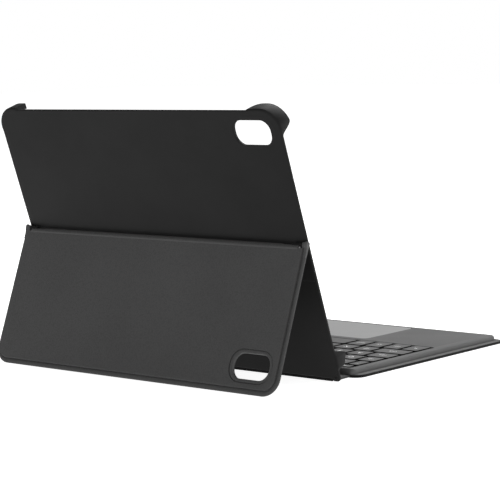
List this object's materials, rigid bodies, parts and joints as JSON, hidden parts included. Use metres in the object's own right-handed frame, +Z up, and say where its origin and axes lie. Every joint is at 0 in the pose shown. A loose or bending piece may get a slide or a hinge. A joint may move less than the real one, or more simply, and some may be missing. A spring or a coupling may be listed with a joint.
{
  "type": "tablet keyboard case",
  "caption": "Folding tablet case standing open: slim keyboard with trackpad, flexible spine, corner-grip back shell with camera slot, and a hinged kickstand panel.",
  "frame": {"origin": "middle of the whole object's bounding box in X and Y, on the table at Z = 0", "axes": "+X to the typist's right along the fold lines, +Y away from the typist, +Z up"},
  "size_m": [0.2564, 0.2516, 0.1795],
  "materials": {
    "shell_plastic": "smooth matt black moulding",
    "kickstand_leather": "fine-grained dark grey coated leather",
    "inner_leather": "fine-grained black coated leather",
    "base_leather": "grey coated leather, heat-pressed edge",
    "stiffener": "fibre board",
    "lining": "brushed microfibre",
    "deck_plastic": "fine satin grey moulding",
    "key_plastic": "soft-touch key caps with printed legends",
    "trackpad_film": "satin laminate",
    "tray_plastic": "dark moulding",
    "steel": "stamped steel",
    "magnet_nickel": "nickel-plated magnet",
    "circuit_board": "solder mask",
    "membrane": "black membrane",
    "battery_foil": "foil pouch",
    "lens_clear": "frosted clear lens"
  },
  "bodies": {
    "keyboard_base": {"base_skin": "base_leather", "deck": "deck_plastic", "base_tray": "tray_plastic", "key_plate": "steel", "switch_membrane": "membrane", "battery_cell_left": "battery_foil", "battery_cell_right": "battery_foil", "lid_magnet_left": "magnet_nickel", "lid_magnet_right": "magnet_nickel", "main_board": "circuit_board", "charge_port": "steel", "indicator_lens": "lens_clear", "click_switch": "tray_plastic", "case_screw_1": "steel", "case_screw_2": "steel", "case_screw_3": "steel", "case_screw_4": "steel"},
    "trackpad": {"trackpad_surface": "trackpad_film", "trackpad_board": "circuit_board"},
    "power_switch": {"power_slider": "tray_plastic"},
    "spine": {"spine_outer_skin": "base_leather", "spine_inner_skin": "inner_leather"},
    "back_shell_body": {"back_shell": "shell_plastic", "lining_sheet": "lining", "hinge_bracket_left": "steel", "hinge_bracket_right": "steel"},
    "kickstand": {"kickstand_outer_skin": "kickstand_leather", "kickstand_inner_skin": "inner_leather", "kickstand_board": "stiffener", "hinge_leaf_left": "steel", "hinge_leaf_right": "steel", "hinge_pin_left": "steel", "hinge_pin_right": "steel"},
    "key_function_body": {"key_function": "key_plastic"},
    "key_control_body": {"key_control": "key_plastic"},
    "key_option_left_body": {"key_option_left": "key_plastic"},
    "key_command_left_body": {"key_command_left": "key_plastic"},
    "key_space_body": {"key_space": "key_plastic"},
    "key_command_right_body": {"key_command_right": "key_plastic"},
    "key_option_right_body": {"key_option_right": "key_plastic"},
    "key_arrow_left_body": {"key_arrow_left": "key_plastic"},
    "key_arrow_down_body": {"key_arrow_down": "key_plastic"},
    "key_arrow_up_body": {"key_arrow_up": "key_plastic"},
    "key_arrow_right_body": {"key_arrow_right": "key_plastic"},
    "key_shift_left_body": {"key_shift_left": "key_plastic"},
    "key_shift_right_body": {"key_shift_right": "key_plastic"},
    "key_caps_lock_body": {"key_caps_lock": "key_plastic"},
    "key_enter_body": {"key_enter": "key_plastic"},
    "key_tab_body": {"key_tab": "key_plastic"},
    "key_backslash_body": {"key_backslash": "key_plastic"},
    "key_grave_body": {"key_grave": "key_plastic"},
    "key_backspace_body": {"key_backspace": "key_plastic"},
    "key_escape_body": {"key_escape": "key_plastic"},
    "keys_lower_letters_body": {"keys_lower_letters": "key_plastic"},
    "keys_home_letters_body": {"keys_home_letters": "key_plastic"},
    "keys_upper_letters_body": {"keys_upper_letters": "key_plastic"},
    "keys_numbers_body": {"keys_numbers": "key_plastic"},
    "keys_function_row_body": {"keys_function_row": "key_plastic"}
  },
  "joints": [
    {"name": "base_fold", "type": "hinge", "parent": "keyboard_base", "child": "spine", "pos_m": [0, 0.04365, 0.00126], "axis": [1, 0, 0], "range_deg": [0, 90]},
    {"name": "shell_fold", "type": "hinge", "parent": "spine", "child": "back_shell_body", "pos_m": [0, 0.05811, 0.00126], "axis": [1, 0, 0], "range_deg": [-60, 17.97]},
    {"name": "kickstand_hinge", "type": "hinge", "parent": "back_shell_body", "child": "kickstand", "pos_m": [0, 0.09036, 0.09098], "axis": [1, 0, 0], "range_deg": [-39.2, 140.7]},
    {"name": "trackpad_click", "type": "hinge", "parent": "keyboard_base", "child": "trackpad", "pos_m": [0, -0.05985, 0.005], "axis": [1, 0, 0], "range_deg": [0, 0.35], "stiffness_Nm_per_rad": 6},
    {"name": "power_switch_slide", "type": "slide", "parent": "keyboard_base", "child": "power_switch", "axis": [0, 1, 0], "range_m": [0, 0.0025]},
    {"name": "key_function_press", "type": "slide", "parent": "keyboard_base", "child": "key_function_body", "axis": [0, 0, -1], "range_m": [0, 0.001], "stiffness_N_per_m": 400},
    {"name": "key_control_press", "type": "slide", "parent": "keyboard_base", "child": "key_control_body", "axis": [0, 0, -1], "range_m": [0, 0.001], "stiffness_N_per_m": 400},
    {"name": "key_option_left_press", "type": "slide", "parent": "keyboard_base", "child": "key_option_left_body", "axis": [0, 0, -1], "range_m": [0, 0.001], "stiffness_N_per_m": 400},
    {"name": "key_command_left_press", "type": "slide", "parent": "keyboard_base", "child": "key_command_left_body", "axis": [0, 0, -1], "range_m": [0, 0.001], "stiffness_N_per_m": 400},
    {"name": "key_space_press", "type": "slide", "parent": "keyboard_base", "child": "key_space_body", "axis": [0, 0, -1], "range_m": [0, 0.001], "stiffness_N_per_m": 400},
    {"name": "key_command_right_press", "type": "slide", "parent": "keyboard_base", "child": "key_command_right_body", "axis": [0, 0, -1], "range_m": [0, 0.001], "stiffness_N_per_m": 400},
    {"name": "key_option_right_press", "type": "slide", "parent": "keyboard_base", "child": "key_option_right_body", "axis": [0, 0, -1], "range_m": [0, 0.001], "stiffness_N_per_m": 400},
    {"name": "key_arrow_left_press", "type": "slide", "parent": "keyboard_base", "child": "key_arrow_left_body", "axis": [0, 0, -1], "range_m": [0, 0.001], "stiffness_N_per_m": 400},
    {"name": "key_arrow_down_press", "type": "slide", "parent": "keyboard_base", "child": "key_arrow_down_body", "axis": [0, 0, -1], "range_m": [0, 0.001], "stiffness_N_per_m": 400},
    {"name": "key_arrow_up_press", "type": "slide", "parent": "keyboard_base", "child": "key_arrow_up_body", "axis": [0, 0, -1], "range_m": [0, 0.001], "stiffness_N_per_m": 400},
    {"name": "key_arrow_right_press", "type": "slide", "parent": "keyboard_base", "child": "key_arrow_right_body", "axis": [0, 0, -1], "range_m": [0, 0.001], "stiffness_N_per_m": 400},
    {"name": "key_shift_left_press", "type": "slide", "parent": "keyboard_base", "child": "key_shift_left_body", "axis": [0, 0, -1], "range_m": [0, 0.001], "stiffness_N_per_m": 400},
    {"name": "key_shift_right_press", "type": "slide", "parent": "keyboard_base", "child": "key_shift_right_body", "axis": [0, 0, -1], "range_m": [0, 0.001], "stiffness_N_per_m": 400},
    {"name": "key_caps_lock_press", "type": "slide", "parent": "keyboard_base", "child": "key_caps_lock_body", "axis": [0, 0, -1], "range_m": [0, 0.001], "stiffness_N_per_m": 400},
    {"name": "key_enter_press", "type": "slide", "parent": "keyboard_base", "child": "key_enter_body", "axis": [0, 0, -1], "range_m": [0, 0.001], "stiffness_N_per_m": 400},
    {"name": "key_tab_press", "type": "slide", "parent": "keyboard_base", "child": "key_tab_body", "axis": [0, 0, -1], "range_m": [0, 0.001], "stiffness_N_per_m": 400},
    {"name": "key_backslash_press", "type": "slide", "parent": "keyboard_base", "child": "key_backslash_body", "axis": [0, 0, -1], "range_m": [0, 0.001], "stiffness_N_per_m": 400},
    {"name": "key_grave_press", "type": "slide", "parent": "keyboard_base", "child": "key_grave_body", "axis": [0, 0, -1], "range_m": [0, 0.001], "stiffness_N_per_m": 400},
    {"name": "key_backspace_press", "type": "slide", "parent": "keyboard_base", "child": "key_backspace_body", "axis": [0, 0, -1], "range_m": [0, 0.001], "stiffness_N_per_m": 400},
    {"name": "key_escape_press", "type": "slide", "parent": "keyboard_base", "child": "key_escape_body", "axis": [0, 0, -1], "range_m": [0, 0.001], "stiffness_N_per_m": 400},
    {"name": "keys_lower_letters_press", "type": "slide", "parent": "keyboard_base", "child": "keys_lower_letters_body", "axis": [0, 0, -1], "range_m": [0, 0.001], "stiffness_N_per_m": 2500},
    {"name": "keys_home_letters_press", "type": "slide", "parent": "keyboard_base", "child": "keys_home_letters_body", "axis": [0, 0, -1], "range_m": [0, 0.001], "stiffness_N_per_m": 2500},
    {"name": "keys_upper_letters_press", "type": "slide", "parent": "keyboard_base", "child": "keys_upper_letters_body", "axis": [0, 0, -1], "range_m": [0, 0.001], "stiffness_N_per_m": 2500},
    {"name": "keys_numbers_press", "type": "slide", "parent": "keyboard_base", "child": "keys_numbers_body", "axis": [0, 0, -1], "range_m": [0, 0.001], "stiffness_N_per_m": 2500},
    {"name": "keys_function_row_press", "type": "slide", "parent": "keyboard_base", "child": "keys_function_row_body", "axis": [0, 0, -1], "range_m": [0, 0.001], "stiffness_N_per_m": 2500}
  ]
}
